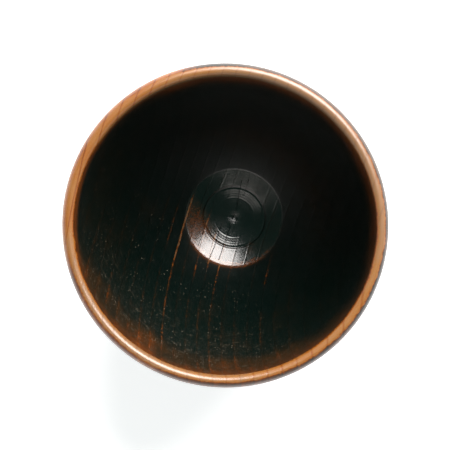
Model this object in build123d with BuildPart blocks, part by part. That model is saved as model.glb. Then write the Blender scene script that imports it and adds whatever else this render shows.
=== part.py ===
from build123d import *
from math import asin, cos, degrees, radians, sin
import os

# A handleless wooden cup, turned from one upright blank of wood.
#
# Frame: millimetres, +Z up along the turning axis, origin at the middle of the foot's resting plane.
# The wall is upright at the lip and sweeps in to a narrower foot. Inside, the sweep ends in a crisp
# edge round a shallow dish. The whole cup is one piece of wood, so it is one solid and one node.

# Driving sizes
rim_diameter = 84.0  # across the outside of the lip
cup_height = 76.0  # foot to the top of the lip
lip_width = 3.4  # wall at the lip, which is rounded over in full
floor_thickness = 5.4  # wood between the dish and the recess under the foot
dish_diameter = 28.2  # across the crisp edge round the dish
dish_depth = 2.55  # from that edge down to the middle
dish_ring_diameter = 17.6  # fine ring left by the tool on the dish
dish_ring_width = 0.5
dish_ring_depth = 0.12
centre_dimple_diameter = 2.6  # where the tool ended at the middle of the dish
centre_dimple_depth = 0.25
foot_diameter = 52.0
foot_height = 3.0  # upright band above the resting plane
foot_ring_width = 7.0  # flat ring that the cup stands on
foot_recess_depth = 1.6  # hollow turned under the foot
foot_chamfer = 0.8  # outer edge of the resting plane
foot_inner_round = 0.5  # inner edge of the resting plane
recess_corner_round = 1.0  # where the hollow's side meets its roof

# How each wall leaves its lower end: its angle above level, and how far that end and the lip pull on
# the curve, as shares of the wall's drop
inside_angle, inside_low_pull, inside_lip_pull = 34.0, 0.28, 0.445
outside_angle, outside_low_pull, outside_lip_pull = 60.0, 0.28, 0.39

# Worked out from the driving sizes
rim_radius = rim_diameter / 2
lip_radius = lip_width / 2
bore_radius = rim_radius - lip_width
lip_level = cup_height - lip_radius  # where both walls turn into the lip's round
dish_radius = dish_diameter / 2
dish_floor = foot_recess_depth + floor_thickness
dish_edge = dish_floor + dish_depth
foot_radius = foot_diameter / 2
recess_radius = foot_radius - foot_ring_width


def wall_poles(low_radius, low_level, angle, low_pull, lip_end_radius, lip_pull):
    """Poles of the curve from a wall's low end, leaving it at that angle, to upright at the lip."""
    drop = lip_level - low_level
    reach = low_pull * drop
    return [
        (low_radius, low_level),
        (low_radius + reach * cos(radians(angle)), low_level + reach * sin(radians(angle))),
        (lip_end_radius, lip_level - lip_pull * drop),
        (lip_end_radius, lip_level),
    ]


def cap_radius(width, depth):
    """Radius of the round that is that deep over that width."""
    return (width**2 / 4 + depth**2) / (2 * depth)


# The dish is part of a sphere through its edge and its lowest point.
dish_sphere_radius = cap_radius(dish_diameter, dish_depth)
dish_sphere_level = dish_floor + dish_sphere_radius
dish_half_angle = degrees(asin(dish_radius / dish_sphere_radius))

# The ring's cutter is a round wire, laid along the dish and let into it by the ring's depth.
ring_wire_radius = cap_radius(dish_ring_width, dish_ring_depth)
ring_wire_reach = dish_sphere_radius - ring_wire_radius + dish_ring_depth
ring_angle = asin(dish_ring_diameter / 2 / dish_sphere_radius)
ring_wire_level = dish_sphere_level - ring_wire_reach * cos(ring_angle)

dimple_sphere_radius = cap_radius(centre_dimple_diameter, centre_dimple_depth)
dimple_sphere_level = dish_floor - centre_dimple_depth + dimple_sphere_radius

with BuildPart() as cup:
    # Half of the section, turned about +Z
    with BuildSketch(Plane.XZ):
        with BuildLine():
            dish = CenterArc((0, dish_sphere_level), dish_sphere_radius, -90, dish_half_angle)
            Bezier(
                *wall_poles(
                    dish_radius,
                    dish_edge,
                    inside_angle,
                    inside_low_pull,
                    bore_radius,
                    inside_lip_pull,
                )
            )
            CenterArc((rim_radius - lip_radius, lip_level), lip_radius, 0, 180)
            outside = Bezier(
                *wall_poles(
                    foot_radius,
                    foot_height,
                    outside_angle,
                    outside_low_pull,
                    rim_radius,
                    outside_lip_pull,
                )
            )
            Polyline(
                outside @ 0,
                (foot_radius, 0),
                (recess_radius, 0),
                (recess_radius, foot_recess_depth),
                (0, foot_recess_depth),
                dish @ 0,
            )
        make_face()
    revolve(axis=Axis.Z)

    # Edges round the foot's resting plane and the corner of the hollow under it
    foot_edges = cup.edges().filter_by(GeomType.CIRCLE).group_by(Axis.Z)[0].sort_by(SortBy.RADIUS)
    recess_corner = (
        cup.edges()
        .filter_by(GeomType.CIRCLE)
        .filter_by_position(Axis.Z, foot_recess_depth, foot_recess_depth)
        .sort_by(SortBy.RADIUS)[-1]
    )
    chamfer(foot_edges[-1], foot_chamfer)
    fillet(foot_edges[0], foot_inner_round)
    fillet(recess_corner, recess_corner_round)

    # Fine ring and centre dimple that the tool left on the dish
    with BuildSketch(Plane.XZ):
        with Locations((ring_wire_reach * sin(ring_angle), ring_wire_level)):
            Circle(ring_wire_radius)
    revolve(axis=Axis.Z, mode=Mode.SUBTRACT)
    with Locations((0, 0, dimple_sphere_level)):
        Sphere(dimple_sphere_radius, mode=Mode.SUBTRACT)

cup.part.label = "cup"

os.makedirs("parts", exist_ok=True)
export_step(cup.part, "parts/cup.step")
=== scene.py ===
from functools import reduce
from math import cos, exp, hypot, pi, radians, sin, sqrt, tan

import bpy
import bmesh
from mathutils import Matrix, Vector
from mathutils.kdtree import KDTree


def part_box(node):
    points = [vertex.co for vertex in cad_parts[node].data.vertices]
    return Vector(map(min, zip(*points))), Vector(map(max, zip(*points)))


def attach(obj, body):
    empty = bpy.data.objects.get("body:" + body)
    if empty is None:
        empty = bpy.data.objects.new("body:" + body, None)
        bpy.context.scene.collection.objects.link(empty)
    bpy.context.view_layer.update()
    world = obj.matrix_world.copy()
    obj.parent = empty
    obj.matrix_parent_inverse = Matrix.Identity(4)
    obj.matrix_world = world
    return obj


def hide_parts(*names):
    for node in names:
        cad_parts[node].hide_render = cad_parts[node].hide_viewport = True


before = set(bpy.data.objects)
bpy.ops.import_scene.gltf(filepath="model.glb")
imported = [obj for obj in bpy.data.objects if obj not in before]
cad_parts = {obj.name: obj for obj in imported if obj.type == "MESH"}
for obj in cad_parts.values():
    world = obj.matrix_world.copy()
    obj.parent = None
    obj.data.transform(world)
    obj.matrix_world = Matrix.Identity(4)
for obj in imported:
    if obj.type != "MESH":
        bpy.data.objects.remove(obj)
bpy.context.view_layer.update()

# A handleless wooden cup, turned from one upright blank, stained near-black inside and rubbed back to
# bare wood round the lip. Everything is in metres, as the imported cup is.

MM = 0.001
cup_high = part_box("cup")[1]

# ---------------------------------------------------------------------------------------------------
# The turned shape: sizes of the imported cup, then the fine marks that turning left on it
# ---------------------------------------------------------------------------------------------------
rim_radius = cup_high.x
cup_height = cup_high.z
lip_width = 3.4 * MM
dish_radius = 14.1 * MM
dish_depth = 2.55 * MM
dish_floor = 7.0 * MM
foot_radius = 26.0 * MM
foot_height = 3.0 * MM
foot_chamfer = 0.8 * MM
foot_inner_round = 0.5 * MM
recess_radius = 19.0 * MM
recess_depth = 1.6 * MM
recess_corner_round = 1.0 * MM
inside_angle, inside_low_pull, inside_lip_pull = 34.0, 0.28, 0.445
outside_angle, outside_low_pull, outside_lip_pull = 60.0, 0.28, 0.39

bore_radius = rim_radius - lip_width
lip_level = cup_height - lip_width / 2
crest_radius = rim_radius - 1.95 * MM  # wear has moved the lip's crest inwards
lip_foot = cup_height - 2.6 * MM  # where the lip's outer side is upright

# How far each quarter's start and end pull on the lip's curve, going from the inside over the crest
inner_lip_pulls = (0.552, 0.552)
outer_lip_pulls = (0.513, 0.615)

# The dish is round, and runs out straight to its edge at its steepest slope.
dish_edge = dish_floor + dish_depth
dish_steepest = radians(15.4)
dish_sphere_radius = (dish_radius**2 + dish_depth**2) / (2 * dish_depth)
dish_round_radius = dish_sphere_radius * sin(dish_steepest)

# Fine rings that the tool left all over the dish, shallower from one radius to another
tool_ring_spacing = 0.70 * MM
tool_ring_depth = 0.011 * MM
tool_ring_fading = 0.008 * MM
fading_from, fading_over = 7.5, 2.5  # in mm

# Clearer marks on the dish: radius, width and depth of two rings and of the dimple at the middle
dish_marks = (
    (8.8 * MM, 0.55 * MM, 0.10 * MM),
    (5.7 * MM, 0.50 * MM, 0.022 * MM),
    (0.0, 2.2 * MM, 0.22 * MM),
)

# Drying cracks in the dish: the points that each runs between in mm, then its width and depth
drying_cracks = (
    (((2.2, 10.9), (0.4, 1.5), (-0.8, -1.2), (-4.5, -12.5)), 0.24 * MM, 0.35 * MM),
    (((4.3, 11.2), (2.8, 6.5)), 0.20 * MM, 0.25 * MM),
    (((-3.4, -1.2), (-5.7, -8.5), (-7.2, -12.0)), 0.20 * MM, 0.25 * MM),
    (((-8.7, -3.5), (-10.3, -8.0)), 0.16 * MM, 0.18 * MM),
)

# How finely the outline is drawn and turned
dish_step = 0.155 * MM
inside_steps, lip_steps, outside_steps = 96, 14, 84
turning_steps = 264

# The blank dried a little narrower across the direction of its rings' centre.
rings_centre_bearing = radians(-11.5)
across_the_rings = Vector((-sin(rings_centre_bearing), cos(rings_centre_bearing), 0))
dried_narrow = 0.993


def groove(radius, centre, width, depth):
    """How deep a round-bottomed groove is at that radius."""
    return depth * exp(-(((radius - centre) / (width / 2)) ** 2))


def sphere_drop(radius):
    """How far the dish's round lies below its own centre at that radius."""
    return sqrt(dish_sphere_radius**2 - radius**2)


def dish_level(radius):
    """Height of the dish, with its fine tool rings, clearer rings and the dimple at the middle."""
    beyond_round = max(radius - dish_round_radius, 0) - (dish_radius - dish_round_radius)
    round_part = sphere_drop(dish_round_radius) - sphere_drop(min(radius, dish_round_radius))
    level = dish_edge + round_part + beyond_round * tan(dish_steepest)
    fading = min(max((radius / MM - fading_from) / fading_over, 0), 1)
    tool_rings = 1 + sin(2 * pi * radius / tool_ring_spacing)
    tool_rings *= (tool_ring_depth - tool_ring_fading * fading) / 2
    return level - tool_rings - sum(groove(radius, *mark) for mark in dish_marks)


def cubic(poles, count):
    """Points on a curve with those four poles, both ends included."""
    points = []
    for step in range(count + 1):
        t = step / count
        weights = ((1 - t) ** 3, 3 * t * (1 - t) ** 2, 3 * t**2 * (1 - t), t**3)
        points.append(tuple(sum(w * pole[i] for w, pole in zip(weights, poles)) for i in (0, 1)))
    return points


def wall_curve(low_radius, low_level, angle, low_pull, lip_end_radius, lip_pull, count):
    """Points up a wall, from its low end to where it is upright at the lip, both ends included."""
    drop = lip_level - low_level
    reach = low_pull * drop
    poles = (
        (low_radius, low_level),
        (low_radius + reach * cos(radians(angle)), low_level + reach * sin(radians(angle))),
        (lip_end_radius, lip_level - lip_pull * drop),
        (lip_end_radius, lip_level),
    )
    return cubic(poles, count)


def arc(centre, radius, start, end, count):
    """Points round an arc, in degrees from level outwards, without its first point."""
    angles = [radians(start + (end - start) * step / count) for step in range(1, count + 1)]
    return [(centre[0] + radius * cos(a), centre[1] + radius * sin(a)) for a in angles]


def lip_curve(start, end, pulls):
    """Points on a quarter turn of the lip, level at the crest and upright at the wall, without its
    first point."""
    wide, high = end[0] - start[0], end[1] - start[1]
    if high > 0:
        first = (start[0], start[1] + high * pulls[0])
        second = (end[0] - wide * pulls[1], end[1])
    else:
        first = (start[0] + wide * pulls[0], start[1])
        second = (end[0], end[1] - high * pulls[1])
    return cubic((start, first, second, end), lip_steps)[1:]


def straight(start, end, count):
    """Points along a straight run, without its first point."""
    shares = [step / count for step in range(1, count + 1)]
    return [tuple(a + (b - a) * share for a, b in zip(start, end)) for share in shares]


def cup_outline():
    """Half of the cup's section, from the middle of the dish over the lip to the middle of the foot."""
    dish_radii = [step * dish_step for step in range(round(dish_radius / dish_step))]
    points = [(radius, dish_level(radius)) for radius in dish_radii]
    points += wall_curve(
        dish_radius,
        dish_edge,
        inside_angle,
        inside_low_pull,
        bore_radius,
        inside_lip_pull,
        inside_steps,
    )
    crest = (crest_radius, cup_height)
    points += lip_curve((bore_radius, lip_level), crest, inner_lip_pulls)
    points += lip_curve(crest, (rim_radius, lip_foot), outer_lip_pulls)
    outside = wall_curve(
        foot_radius,
        foot_height,
        outside_angle,
        outside_low_pull,
        rim_radius,
        outside_lip_pull,
        outside_steps,
    )
    clear_of_lip = lip_foot - 0.3 * MM
    points += [point for point in outside[::-1] if point[1] < clear_of_lip]
    points += straight((foot_radius, foot_height), (foot_radius, foot_chamfer), 3)
    points += straight((foot_radius, foot_chamfer), (foot_radius - foot_chamfer, 0), 2)
    inner_edge = (recess_radius + foot_inner_round, 0)
    points += straight(points[-1], inner_edge, 8)
    points += arc((recess_radius + foot_inner_round, foot_inner_round), foot_inner_round, 270, 180, 3)
    corner = (recess_radius - recess_corner_round, recess_depth - recess_corner_round)
    points += arc(corner, recess_corner_round, 0, 90, 5)
    points += straight(points[-1], (0, recess_depth), 24)
    return points


# ---------------------------------------------------------------------------------------------------
# Modelling helpers
# ---------------------------------------------------------------------------------------------------
def start_piece(name, add_primitive, **settings):
    """Adds a primitive on its own, with nothing else selected, and opens it in edit mode."""
    bpy.ops.object.select_all(action="DESELECT")
    add_primitive(**settings)
    piece = bpy.context.object
    piece.name = name
    bpy.ops.object.mode_set(mode="EDIT")
    return piece


def turn_cup():
    """Shrinks a plane to one point, draws the outline from it, then spins that about the axis."""
    outline = cup_outline()
    cup = start_piece("turned_cup", bpy.ops.mesh.primitive_plane_add, size=MM)
    bpy.ops.mesh.merge(type="CENTER")
    bpy.ops.transform.translate(value=(outline[0][0], 0, outline[0][1]))
    for here, there in zip(outline, outline[1:]):
        step = (there[0] - here[0], 0, there[1] - here[1])
        bpy.ops.mesh.extrude_vertices_move(TRANSFORM_OT_translate={"value": step})
    bpy.ops.mesh.select_all(action="SELECT")
    bpy.ops.mesh.spin(steps=turning_steps, angle=2 * pi, center=(0, 0, 0), axis=(0, 0, 1))
    bpy.ops.mesh.select_all(action="SELECT")
    bpy.ops.mesh.remove_doubles(threshold=0.001 * MM)
    bpy.ops.mesh.normals_make_consistent(inside=False)
    bpy.ops.object.mode_set(mode="OBJECT")
    return cup


def mark_surface(cup):
    """Marks each point with its distance in mm along the surface from the lip's crest, negative
    inside, and with how far it lies down in a crack, from 0 to 1."""
    outline = cup_outline()
    lengths = [0]
    for here, there in zip(outline, outline[1:]):
        lengths.append(lengths[-1] + hypot(there[0] - here[0], there[1] - here[1]))
    crest = max(range(len(outline)), key=lambda i: outline[i][1])
    shaded_below, fully_dark_over = 0.3, 0.08 * MM
    tree = KDTree(len(outline))
    for index, (radius, level) in enumerate(outline):
        tree.insert((radius, 0, level), index)
    tree.balance()
    distances = []
    cracks = []
    for vertex in cup.data.vertices:
        radius = hypot(vertex.co.x, vertex.co.y)
        index = tree.find((radius, 0, vertex.co.z))[1]
        distances.append((lengths[index] - lengths[crest]) / MM)
        in_dish = radius < dish_radius and vertex.co.z > dish_floor - MM
        below = dish_level(radius) - vertex.co.z if in_dish else 0
        cracks.append(min(max(below / fully_dark_over - shaded_below, 0), 1))
    cup.data.attributes.new("from_lip", "FLOAT", "POINT").data.foreach_set("value", distances)
    cup.data.attributes.new("in_crack", "FLOAT", "POINT").data.foreach_set("value", cracks)


def select_along(cup, runs, reach, faces):
    """Selects the dish's faces, or its points, within that reach of any of the straight runs."""
    bpy.ops.mesh.select_all(action="DESELECT")
    mesh = bmesh.from_edit_mesh(cup.data)
    for element in mesh.faces if faces else mesh.verts:
        place = element.verts[0].co if faces else element.co
        if hypot(place.x, place.y) > dish_radius or not dish_floor - MM < place.z < dish_edge:
            continue
        for start, end in runs:
            along = (end - start).normalized()
            offset = Vector((place.x, place.y)) - start
            off_line = abs(offset.cross(along))
            past_ends = max(-offset.dot(along), offset.dot(along) - (end - start).length)
            if off_line < reach and past_ends < reach / 4:
                element.select = True
    mesh.select_flush_mode()
    bmesh.update_edit_mesh(cup.data)


def open_crack(cup, points, width, depth):
    """Cuts a fine drying crack in the dish, in straight runs between those points in mm."""
    points = [Vector(point) * MM for point in points]
    bpy.ops.mesh.select_mode(type="FACE")
    for start, end in zip(points, points[1:]):
        along = (end - start).normalized()
        across = Vector((-along.y, along.x, 0))
        for side in (-width / 2, 0, width / 2):
            select_along(cup, [(start, end)], 1.7 * width, faces=True)
            middle = Vector((start.x, start.y, 0)) + across * side
            bpy.ops.mesh.bisect(plane_co=middle, plane_no=across, threshold=0.0001 * MM)

    # Each pass lowers the crack's middle line by a third, over a shorter stretch than the last
    bpy.ops.mesh.select_mode(type="VERT")
    for share in (0.0, 0.15, 0.3):
        first = points[0].lerp(points[1], share)
        last = points[-1].lerp(points[-2], share)
        stretch = [first, *points[1:-1], last]
        select_along(cup, list(zip(stretch, stretch[1:])), width / 6, faces=False)
        bpy.ops.transform.translate(value=(0, 0, -depth / 3))


def crack_the_dish(cup):
    """Opens the drying cracks, which follow the rings across the dish."""
    bpy.ops.object.mode_set(mode="EDIT")
    for points, width, depth in drying_cracks:
        open_crack(cup, points, width, depth)
    bpy.ops.object.mode_set(mode="OBJECT")


# ---------------------------------------------------------------------------------------------------
# Finish helpers
# ---------------------------------------------------------------------------------------------------
class Finish:
    """A material that is built node by node; each call gives the new node's output."""

    def __init__(self, name):
        self.material = bpy.data.materials.new(name)
        self.material.use_nodes = True
        self.tree = self.material.node_tree
        self.tree.nodes.clear()

    def add(self, kind, inputs, output=0, **settings):
        """Adds a node, sets it up, and feeds its inputs with numbers or with other nodes' outputs."""
        node = self.tree.nodes.new("ShaderNode" + kind)
        for name, value in settings.items():
            setattr(node, name, value)
        for key, value in inputs.items():
            if isinstance(value, bpy.types.NodeSocket):
                self.tree.links.new(value, node.inputs[key])
            else:
                node.inputs[key].default_value = value
        return node.outputs[output] if node.outputs else None

    def math(self, operation, *values):
        """Works out one step from up to three values."""
        return self.add("Math", dict(enumerate(values)), operation=operation)

    def plus(self, *values):
        """Adds the values, in their order."""
        return reduce(lambda total, value: self.math("ADD", total, value), values)

    def times(self, *values):
        """Multiplies the values, in their order."""
        return reduce(lambda product, value: self.math("MULTIPLY", product, value), values)

    def fade(self, value, start, end, low=0.0, high=1.0):
        """Goes smoothly from low to high while the value goes from start to end."""
        ends = {"From Min": start, "From Max": end, "To Min": low, "To Max": high}
        return self.add("MapRange", {"Value": value, **ends}, interpolation_type="SMOOTHSTEP")

    def stretch(self, place, along_x, along_y, along_z):
        """Scales a place by a number for each direction."""
        scale = (along_x, along_y, along_z)
        return self.add("VectorMath", {0: place, 1: scale}, operation="MULTIPLY")

    def noise(self, place, scale=1.0, detail=2.0, roughness=0.5):
        """Cloudy pattern from about 0 to 1."""
        inputs = {"Vector": place, "Scale": scale, "Detail": detail, "Roughness": roughness}
        return self.add("TexNoise", inputs)

    def sway(self, place, reach, scale=1.0, detail=2.0):
        """Cloudy pattern from about -reach to +reach."""
        return self.times(self.plus(self.noise(place, scale, detail), -0.5), 2 * reach)

    def colours(self, value, stops):
        """Colour by value, with smooth steps between the stops."""
        ramp = self.tree.nodes.new("ShaderNodeValToRGB")
        ramp.color_ramp.interpolation = "LINEAR"
        while len(ramp.color_ramp.elements) < len(stops):
            ramp.color_ramp.elements.new(1.0)
        for element, (position, colour) in zip(ramp.color_ramp.elements, stops):
            element.position = position
            element.color = (*colour, 1.0)
        self.tree.links.new(value, ramp.inputs["Fac"])
        return ramp.outputs["Color"]

    def by_count(self, value, first, shares):
        """Looks up a share for each whole number from the first one up."""
        ramp = self.tree.nodes.new("ShaderNodeValToRGB")
        ramp.color_ramp.interpolation = "CONSTANT"
        while len(ramp.color_ramp.elements) < len(shares):
            ramp.color_ramp.elements.new(1.0)
        for index, (element, share) in enumerate(zip(ramp.color_ramp.elements, shares)):
            element.position = index / len(shares)
            element.color = (share, share, share, 1.0)
        steps = self.plus(value, 0.5 - first)
        self.tree.links.new(self.times(steps, 1 / len(shares)), ramp.inputs["Fac"])
        return ramp.outputs["Color"]

    def blend(self, amount, first, second):
        """Mixes two colours."""
        inputs = {0: amount, 6: first, 7: second}
        return self.add("Mix", inputs, output=2, data_type="RGBA", clamp_factor=True)

    def finish(self, surface):
        self.add("OutputMaterial", {"Surface": surface})
        return self.material


# ---------------------------------------------------------------------------------------------------
# The cup's finish
# ---------------------------------------------------------------------------------------------------
# Places in the pattern are in mm. The rings' centre line leans a little and lies outside the cup.
rings_lean = (radians(15.0), radians(-4.1), 0.0)
rings_centre = (-127.4, 45.8, 0.0)
middle_ring_distance = 135.9
ring_width = 3.35
ring_narrowing = 0.0009
ring_offset = 0.1
ring_turnover = 0.3  # a ring's number changes this far ahead of its end, so a line has one number
bold_ring = 4
rim_reach = 40.0  # from the axis to about the rim

# How boldly each ring shows through the stain, outwards from the first one
first_ring = -7
ring_boldness = (0.10, 0.25, 0.05, 0.50, 0.10, 0.25, 0.12, 0.45, 0.40, 0.40, 0.10, 1.0, 0.35, 0.4)
ring_boldness += (0.15, 0.2, 0.45, 0.12, 0.40, 0.30, 0.15, 0.3)

# Colour by how much stain is left
bare_to_black = (
    (0.00, (0.26, 0.132, 0.060)),
    (0.15, (0.30, 0.124, 0.030)),
    (0.30, (0.29, 0.086, 0.006)),
    (0.45, (0.18, 0.040, 0.002)),
    (0.60, (0.085, 0.024, 0.003)),
    (0.75, (0.026, 0.014, 0.004)),
    (0.88, (0.007, 0.0075, 0.0038)),
    (1.00, (0.0002, 0.0060, 0.0042)),
)
late_wood_tint = (0.45, 0.33, 0.25)
dust_colour = (0.32, 0.26, 0.19, 1)
scratch_colour = (0.085, 0.072, 0.050, 1)
# Cracks: stain gathered in them, with painted shade that deepens further down
crack_stain_and_shade_colour = (0.002, 0.002, 0.001, 1)

# What each kind of wear takes from the stain, where its full depth is 1; painted_fill_lift is no wear but
# painted fill light on the inside that faces away from the window
near_lip_loss = -0.05
painted_fill_lift = -0.27
ring_band_loss = -0.10
worn_side_loss = -0.17
bare_spot_loss = -0.40
dish_loss = -0.42
dish_edge_loss = -0.55
by_the_dish_loss = -0.36
ring_line_loss = -0.88
late_wood_loss = -0.10

relief_height = 0.012 * MM
oil_ior = 1.8


class StainedWood(Finish):
    """Stained ring-porous wood under a satin oil, from near-black to the bare wood of the lip."""

    def __init__(self, name):
        super().__init__(name)
        self.lay_out()
        self.grow_rings()
        self.lay_fibres()
        self.show_rings()
        self.wear()

    def toward(self, along_x, along_y):
        """How far a place lies to one side of the axis."""
        return self.plus(self.times(self.x, along_x), self.times(self.y, along_y))

    def share_toward(self, along_x, along_y):
        """The same as a share, which is about 1 at the rim."""
        return self.toward(along_x / rim_reach, along_y / rim_reach)

    def lay_out(self):
        """Places and distances in mm; from_lip is negative inside the cup."""
        to_mm = (1 / MM, 1 / MM, 1 / MM)
        place = self.add("TexCoord", {}, output="Object")
        turned = {"Rotation": rings_lean, "Location": rings_centre}
        self.place = self.add("Mapping", {"Vector": place, "Scale": to_mm})
        self.grain = self.add("Mapping", {"Vector": place, "Scale": to_mm, **turned})
        split = self.add("SeparateXYZ", {0: self.place}).node
        self.x, self.y, self.z = (split.outputs[axis] for axis in "XYZ")
        self.level = self.stretch(self.place, 1, 1, 0)
        self.from_axis = self.add("VectorMath", {0: self.level}, output="Value", operation="LENGTH")
        self.from_lip = self.add("Attribute", {}, output="Fac", attribute_name="from_lip")
        self.in_crack = self.add("Attribute", {}, output="Fac", attribute_name="in_crack")

    def grow_rings(self):
        """A count of rings outwards, whole at the end of each dark late wood."""
        flat = self.stretch(self.grain, 1, 1, 0)
        distance = self.add("VectorMath", {0: flat}, output="Value", operation="LENGTH")
        outward = self.plus(distance, -middle_ring_distance)
        narrowing = self.times(outward, outward, ring_narrowing)
        self.rings = self.plus(
            self.times(outward, 1 / ring_width),
            narrowing,
            ring_offset,
            self.sway(self.stretch(self.grain, 0.05, 0.05, 0.012), 0.16),
            self.sway(self.stretch(self.grain, 0.5, 0.5, 0.03), 0.04),
        )
        share = self.math("FRACT", self.rings)
        self.ring = self.math("FLOOR", self.plus(self.rings, ring_turnover))
        falling = self.fade(share, 0.0, 0.05, 1.0, 0.0)
        self.line = self.math("MAXIMUM", self.fade(share, 0.85, 0.97), falling)
        self.late_wood = self.math("MAXIMUM", self.fade(share, 0.35, 1.0), falling)

    def lay_fibres(self):
        """Coarse and fine fibres along the grain, and clouds in the stain."""
        self.fibres = self.noise(self.stretch(self.grain, 2.2, 2.2, 0.07), 1.0, 4.0, 0.6)
        self.fine_fibres = self.noise(self.stretch(self.grain, 6.0, 6.0, 0.25), 1.0, 3.0, 0.6)
        self.mottle = self.noise(self.stretch(self.grain, 0.10, 0.10, 0.04), 1.0, 3.0)
        clouds = self.noise(self.place, 0.9, 4.0, 0.7)
        self.streaky = self.plus(self.times(self.fibres, 0.6), self.times(clouds, 0.4))

    def show_rings(self):
        """How strongly each ring shows through the stain; each comes and goes along the cup."""
        boldness = self.by_count(self.ring, first_ring, ring_boldness)
        shift = {"X": self.times(self.ring, 7.3), "Y": self.times(self.ring, 3.1)}
        along = {0: self.stretch(self.grain, 0.09, 0.09, 0.05), 1: self.add("CombineXYZ", shift)}
        along = self.add("VectorMath", along, operation="ADD")
        presence = self.fade(self.noise(along, 1.0, 2.0), 0.36, 0.56)
        dashes = self.noise(self.stretch(self.grain, 1.1, 1.1, 0.34), 1.0, 3.0)
        dashes = self.fade(dashes, 0.43, 0.60)
        presence = self.times(presence, self.plus(self.times(dashes, 0.8), 0.2))
        boldest = self.math("COMPARE", self.ring, float(bold_ring), 0.5)
        nearly_whole = self.plus(self.times(dashes, 0.40), 0.28)
        nearly_whole = self.times(boldest, self.fade(self.y, -28.0, -23.0), nearly_whole)
        self.presence = self.math("MAXIMUM", presence, nearly_whole)
        shown = self.plus(self.times(self.presence, 0.88), 0.12)
        near_lip = self.fade(self.from_lip, -6.0, -28.0, 0.4, 1.0)
        self.streak = self.times(self.line, boldness, shown, near_lip)

    def wear(self):
        """Where the stain is thinner: towards one side of the cup, in the dish and round it."""
        self.worn_side = self.fade(self.toward(-0.45, -0.89), 0.0, 32.0)
        self.by_the_dish = self.times(
            self.fade(self.from_axis, 24.0, 15.0),
            self.fade(self.from_axis, 3.0, 10.0),
            self.fade(self.toward(-0.65, -0.75), -1.0, 9.0),
        )
        self.ring_band = self.times(
            self.fade(self.rings, 4.1, 4.8),
            self.fade(self.rings, 6.8, 5.8),
            self.fade(self.y, 0.0, -14.0),
        )
        spot = {0: self.level, 1: (4.9, -8.6, 0)}
        spot = self.add("VectorMath", spot, output="Value", operation="DISTANCE")
        spot = self.plus(spot, self.sway(self.place, 2.2, 0.8, 3.0))
        self.bare_spot = self.times(
            self.fade(spot, 3.2, 1.4), self.fade(self.streaky, 0.38, 0.60, 0.2, 1.0)
        )
        self.inside_dish = self.times(
            self.fade(self.from_axis, 14.4, 13.4), self.fade(self.from_lip, -20.0, -30.0)
        )
        self.dish_wear = self.times(
            self.fade(self.toward(-0.9, -0.45), 1.0, 9.0),
            self.inside_dish,
            self.fade(self.streaky, 0.36, 0.62, 0.35, 1.0),
        )
        edge = self.plus(self.from_axis, self.plus(self.sway(self.place, 0.8, 0.9), -13.9))
        self.edge_wear = self.times(
            self.fade(self.math("ABSOLUTE", edge), 1.3, 0.2),
            self.fade(self.y, -4.0, -10.0),
            self.fade(self.streaky, 0.36, 0.56, 0.35, 1.0),
        )

    def first_coat_and_painted_fill(self):
        """Terms of the stain before wear: all inside, none on the lip, less on the outside; at the top,
        bare wood runs further down the inside as painted fill light.
        """
        ragged = self.plus(self.sway(self.place, 0.40, 0.35), self.sway(self.grain, 0.40, 1.5))
        ragged = self.plus(self.from_lip, ragged)
        lobes = self.plus(self.times(self.y, self.y), self.times(self.x, self.x, -1.0))
        lobes = self.times(lobes, 1 / rim_reach**2, 0.7)
        inner = self.plus(ragged, self.plus(lobes, self.times(self.x, -0.006)))
        # Painted fill light: towards the top, bare wood reaches further down the inside, lightening the
        # wall that faces away from the window
        inner = self.plus(inner, self.fade(self.y, 19.0, 41.0, 0.0, 4.2))
        low_way = self.share_toward(-0.342, -0.94)
        leftwards = self.share_toward(-0.85, 0.53)
        outer = self.plus(ragged, self.fade(low_way, -0.3, 0.9, 0.0, 0.75))
        edging = self.times(
            self.fade(outer, 0.75, 1.5),
            self.fade(leftwards, 0.6, 0.85, 1.0, 0.2),
            self.fade(low_way, 0.7, -0.5, 0.48, 0.74),
        )
        return (
            self.fade(inner, -2.7, -1.2, 0.62, 0.0),
            self.fade(self.from_lip, -13.0, -2.5, 0.13, 0.0),
            self.fade(self.from_lip, -36.0, -9.0, 0.56, 0.0),
            self.times(edging, self.fade(self.from_lip, 2.0, 5.0, 1.0, 0.0)),
            self.fade(self.from_lip, 2.0, 5.0, 0.0, 0.64),
            self.fade(self.from_lip, 5.0, 75.0, 0.0, 0.20),
        )

    def worn_away_and_painted_fill(self):
        """Terms that wear takes from the stain, and one of painted fill light that lightens the inside
        facing away from the window.
        """
        near_lip = self.times(self.fade(self.y, -20.0, -38.0), self.fade(self.from_lip, -2.0, -3.5))
        # Painted fill light: the inside wall on the window's side faces away from the window and is drawn
        # lighter, standing in for light falling there
        painted_fill_side = self.times(
            self.fade(self.toward(0.45, 0.89), -6.0, 32.0),
            self.fade(self.from_lip, -36.0, -12.0),
            self.fade(self.from_lip, -1.5, -3.0),
        )
        return (
            self.times(near_lip, near_lip_loss),
            self.times(painted_fill_side, painted_fill_lift),
            self.times(self.ring_band, ring_band_loss),
            self.times(self.worn_side, self.fade(self.from_lip, -12.0, -24.0, 0.0, worn_side_loss)),
            self.times(self.bare_spot, bare_spot_loss),
            self.times(self.dish_wear, dish_loss),
            self.times(self.edge_wear, dish_edge_loss),
        )

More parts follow.
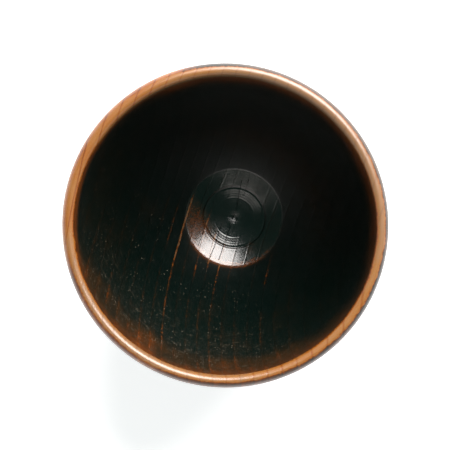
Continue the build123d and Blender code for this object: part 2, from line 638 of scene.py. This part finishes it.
    def left_behind(self):
        """Terms for amber left on the lip at two places, and a dark inside below it at the left."""
        left = self.fade(self.share_toward(-0.8, 0.6), 0.35, 0.95)
        right = self.fade(self.share_toward(0.5, -0.87), 0.50, 0.95, 0.0, 0.75)
        amber = self.math("MAXIMUM", left, right)
        crest = self.fade(self.from_lip, -2.6, -1.4)
        on_lip = self.times(crest, self.fade(self.from_lip, 3.0, 1.6))
        tint = self.plus(self.times(self.line, 0.18), 0.22)
        residue = self.times(self.fade(self.x, -10.0, -30.0), self.fade(self.y, -16.0, 2.0))
        return (
            self.times(self.times(amber, on_lip), tint),
            self.times(residue, self.fade(self.from_lip, -4.5, -10.0, -0.16, 0.26)),
            self.times(residue, crest, 0.16),
            self.times(self.by_the_dish, self.fade(self.from_axis, 18.0, 14.2, 0.0, by_the_dish_loss)),
        )

    def stain(self):
        """How much stain is left, with the grain's lines, fibres and clouds showing in it; part of what
        is taken off on the inside facing away from the window is painted fill light.
        """
        coat = self.plus(*self.first_coat_and_painted_fill(), *self.worn_away_and_painted_fill(), *self.left_behind())
        bare_rings = self.plus(
            self.times(self.worn_side, 0.50), 0.16, self.times(self.by_the_dish, 2.0)
        )
        banded = self.times(self.late_wood, self.plus(self.times(self.presence, 0.8), 0.1))
        return self.plus(
            self.math("MINIMUM", coat, 1.02),
            self.times(self.streak, bare_rings, ring_line_loss),
            self.times(banded, self.plus(self.worn_side, 0.3), late_wood_loss),
            self.times(self.plus(self.fibres, -0.5), 0.30),
            self.times(self.plus(self.fine_fibres, -0.5), 0.22),
            self.times(self.plus(self.mottle, -0.5), 0.40),
        )

    def darken_grain(self, colour):
        """Bare wood keeps its darker late wood and pores."""
        pores = self.fade(self.fine_fibres, 0.56, 0.72, 0.0, 0.45)
        darker = self.plus(self.times(self.line, 0.30), pores)
        return self.blend(darker, colour, self.stretch(colour, *late_wood_tint))

    def specks_scratches_and_crack_shade(self, colour):
        """Pale specks caught in the finish, fine scratches round the wall, and cracks darkened by stain
        gathered in them and by painted shade deeper down.
        """
        dusty = self.fade(self.toward(-0.7, -0.7), 2.0, 26.0)
        dusty = self.times(dusty, self.fade(self.from_lip, -3.0, -8.0))
        cells = self.add("TexVoronoi", {"Vector": self.place, "Scale": 1.3}).node
        lit = self.add("SeparateColor", {0: cells.outputs["Color"]}, output="Red")
        specks = self.times(
            self.fade(cells.outputs["Distance"], 0.22, 0.10),
            self.fade(lit, 0.60, 0.66),
            dusty,
            self.fade(self.noise(self.place, 0.16, 2.0), 0.44, 0.60),
        )
        colour = self.blend(specks, colour, dust_colour)
        round_axis = self.math("ARCTAN2", self.x, self.times(self.y, -1.0))
        wiped = {
            "X": self.times(round_axis, 19.0),
            "Y": self.times(self.from_axis, 5.5),
            "Z": self.times(self.from_lip, 0.2),
        }
        wiped = self.noise(self.add("CombineXYZ", wiped), 1.0, 1.0)
        scratches = self.times(
            self.fade(wiped, 0.62, 0.74),
            self.fade(self.y, 2.0, -22.0),
            dusty,
            self.fade(self.from_lip, -52.0, -40.0, 0.0, 0.50),
        )
        colour = self.blend(scratches, colour, scratch_colour)
        # Darker the deeper down a crack: partly stain gathered there, partly painted shade
        return self.blend(self.in_crack, colour, crack_stain_and_shade_colour)

    def relief(self):
        """Relief of the grain, the finest turning lines and the torn middle of the dish."""
        turning = self.plus(self.times(self.from_axis, 5.0), self.times(self.z, 3.0))
        turning = {0: self.add("CombineXYZ", {"X": turning}), 1: self.stretch(self.place, 0.03, 0.03, 0)}
        turning = self.noise(self.add("VectorMath", turning, operation="ADD"), 1.0, 2.0)
        torn = self.times(self.noise(self.place, 5.0, 1.0), self.fade(self.from_axis, 3.4, 1.0, 0.0, 4.0))
        height = self.plus(
            self.times(self.fibres, 0.8),
            self.times(self.fine_fibres, 0.3),
            self.times(self.line, -1.2),
            self.times(turning, 0.3),
            torn,
        )
        return self.add("Bump", {"Strength": 1.0, "Distance": relief_height, "Height": height})

    def roughness(self):
        """Satin all over, glossier in the dish and a little duller on the lip."""
        return self.plus(
            self.times(self.noise(self.place, 0.4, 3.0), 0.12),
            0.25,
            self.times(self.inside_dish, -0.12),
            self.fade(self.from_lip, -2.5, -1.0, 0.0, 0.03),
        )


def cup_finish():
    """The cup's one material."""
    wood = StainedWood("stained_and_oiled_wood")
    colour = wood.specks_scratches_and_crack_shade(wood.darken_grain(wood.colours(wood.stain(), bare_to_black)))
    gloss = {"Roughness": wood.roughness(), "IOR": oil_ior, "Normal": wood.relief()}
    return wood.finish(wood.add("BsdfPrincipled", {"Base Color": colour, **gloss}))


# ---------------------------------------------------------------------------------------------------
# Floor, light and camera
# ---------------------------------------------------------------------------------------------------
# Angles of the room's dark ceiling are from straight up.
ceiling_starts, ceiling_in_full = radians(72), radians(46)
room_colour = (0.80, 0.82, 0.84, 1)
ceiling_colour = (0.040, 0.085, 0.070, 1)
window_colour = (1.0, 0.965, 0.94)

# The wall across from the window stands in as three dim lamps, each with its bearing and brightness.
wall_lamps = ((216, 1.6), (243, 3.2), (270, 2.0))
wall_from_zenith = 26.5
wall_lamp_radius = 0.08
wall_colour = (1.0, 0.94, 0.88)
light_distance = 1.2  # from the cup's mouth

rim_middle = Vector((0.15 * MM, 0.30 * MM, cup_height))  # what the camera looks at
camera_offset = Vector((0.0207, 0.0185, 0.5))
camera_lens = 156.8


def pale_floor():
    """A wide white floor, a little self-lit so that it stays white round the cup's shadow."""
    disc = bpy.ops.mesh.primitive_circle_add
    floor = start_piece("pale_floor", disc, vertices=96, radius=6.0, fill_type="NGON")
    bpy.ops.object.mode_set(mode="OBJECT")
    white = Finish("white_board")
    paint = {"Base Color": (0.93, 0.93, 0.95, 1), "Roughness": 0.8}
    glow = {"Emission Color": (1.0, 1.0, 1.0, 1), "Emission Strength": 0.68}
    board = white.add("BsdfPrincipled", {**paint, **glow})
    floor.data.materials.append(white.finish(board))


def soft_light(name, bearing, from_zenith, radius, brightness, colour):
    """A round soft light of that radiance, aimed at the cup; bearing and from_zenith are in degrees."""
    light = bpy.data.lights.new(name, "AREA")
    light.shape = "DISK"
    light.size = 2 * radius
    light.color = colour
    light.energy = brightness * pi * pi * radius**2
    lamp = bpy.data.objects.new(name, light)
    bpy.context.collection.objects.link(lamp)
    bearing, from_zenith = radians(bearing), radians(from_zenith)
    direction = Vector(
        (sin(from_zenith) * cos(bearing), sin(from_zenith) * sin(bearing), cos(from_zenith))
    )
    lamp.location = Vector((0, 0, cup_height)) + direction * light_distance
    lamp.rotation_mode = "QUATERNION"
    lamp.rotation_quaternion = direction.to_track_quat("Z", "Y")


def white_room():
    """A world that is white low down all round, with a dark ceiling straight above."""
    world = bpy.data.worlds.new("white_room")
    world.use_nodes = True
    tree = world.node_tree
    way = tree.nodes.new("ShaderNodeTexCoord")
    split = tree.nodes.new("ShaderNodeSeparateXYZ")
    ceiling = tree.nodes.new("ShaderNodeMapRange")
    ceiling.interpolation_type = "SMOOTHSTEP"
    ceiling.inputs["From Min"].default_value = cos(ceiling_starts)
    ceiling.inputs["From Max"].default_value = cos(ceiling_in_full)
    paint = tree.nodes.new("ShaderNodeMix")
    paint.data_type = "RGBA"
    paint.inputs[6].default_value = room_colour
    paint.inputs[7].default_value = ceiling_colour
    background = tree.nodes["Background"]
    tree.links.new(way.outputs["Generated"], split.inputs[0])
    tree.links.new(split.outputs["Z"], ceiling.inputs["Value"])
    tree.links.new(ceiling.outputs["Result"], paint.inputs["Factor"])
    tree.links.new(paint.outputs[2], background.inputs["Color"])
    return world


def studio():
    """A white room with a big soft window, and dim lamps for the wall across from it."""
    scene = bpy.context.scene
    scene.view_settings.view_transform = "Standard"
    scene.world = white_room()
    soft_light("window", 66, 45, radius=0.55, brightness=12.6, colour=window_colour)
    for bearing, brightness in wall_lamps:
        soft_light("far_wall", bearing, wall_from_zenith, wall_lamp_radius, brightness, wall_colour)


def camera_above():
    """Looks down almost along the cup's axis, from a little to one side of it."""
    camera = bpy.data.objects.new("camera", bpy.data.cameras.new("camera"))
    bpy.context.collection.objects.link(camera)
    camera.data.sensor_width = 36.0
    camera.data.lens = camera_lens
    camera.location = rim_middle + camera_offset
    back = (camera.location - rim_middle).normalized()
    right = Vector((0, 1, 0)).cross(back).normalized()
    camera.rotation_mode = "QUATERNION"
    turn = Matrix((right, back.cross(right), back)).transposed()
    camera.rotation_quaternion = turn.to_quaternion()
    bpy.context.scene.camera = camera


camera_above()
studio()
pale_floor()

cup = turn_cup()
crack_the_dish(cup)
mark_surface(cup)
cup.data.transform(Matrix.Scale(dried_narrow, 4, across_the_rings))
bpy.ops.object.shade_smooth_by_angle(angle=radians(25))
cup.data.materials.append(cup_finish())
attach(cup, "root")
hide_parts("cup")
